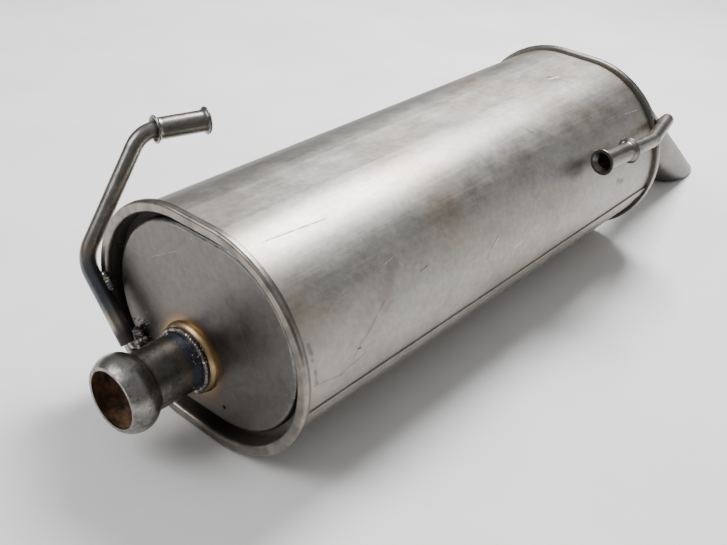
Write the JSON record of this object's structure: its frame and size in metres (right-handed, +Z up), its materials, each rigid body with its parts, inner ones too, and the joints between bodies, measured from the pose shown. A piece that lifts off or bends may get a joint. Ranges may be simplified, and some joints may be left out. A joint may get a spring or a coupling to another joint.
{
  "type": "exhaust silencer",
  "caption": "Rear exhaust silencer: flattened-oval steel body with lock-seamed end caps, ball-flared inlet, turned-down tail pipe, and bent hanger rods with spool sleeves",
  "frame": {"origin": "on the inlet pipe's axis, inside its straight bore, 11.1 mm behind the bore's start at the neck of the ball flare and 25.8 mm in front of the front rim", "axes": "+X along the gas flow from the inlet to the tail, +Z up, +Y away from the flank that carries the rear hanger"},
  "size_m": [0.7517, 0.2282, 0.1837],
  "materials": {
    "shell_steel": "satin aluminised steel sheet, long soft highlights, faint brown heat tint and scuffs",
    "cap_steel": "pressed steel sheet, grey, darker in the groove",
    "pipe_steel": "heat-darkened steel pipe with rust-brown inside",
    "tail_steel": "satin grey steel pipe",
    "rod_steel": "drawn steel rod, dark, with blue heat tint at the weld",
    "sleeve_steel": "flared steel tube, semi-bright",
    "weld_metal": "rough rippled weld bead, dark with bright spatter",
    "inner_steel": "plain steel sheet and tube",
    "mesh_steel": "knitted stainless steel mesh",
    "glass_wool": "packed glass fibre"
  },
  "bodies": {
    "root": {"outer_shell": "shell_steel", "inner_shell": "inner_steel", "front_end_cap": "cap_steel", "rear_end_cap": "cap_steel", "front_baffle": "inner_steel", "rear_baffle": "inner_steel", "inlet_pipe": "pipe_steel", "inlet_perforated_tube": "inner_steel", "transfer_tube": "inner_steel", "outlet_perforated_tube": "inner_steel", "inlet_mesh": "mesh_steel", "outlet_mesh": "mesh_steel", "wool_packing": "glass_wool", "tail_pipe": "tail_steel", "front_hanger_rod": "rod_steel", "rear_hanger_rod": "rod_steel", "front_hanger_sleeve": "sleeve_steel", "rear_hanger_sleeve": "sleeve_steel", "inlet_weld": "weld_metal", "tail_weld": "weld_metal", "front_hanger_weld": "weld_metal", "rear_hanger_weld": "weld_metal"}
  },
  "joints": []
}
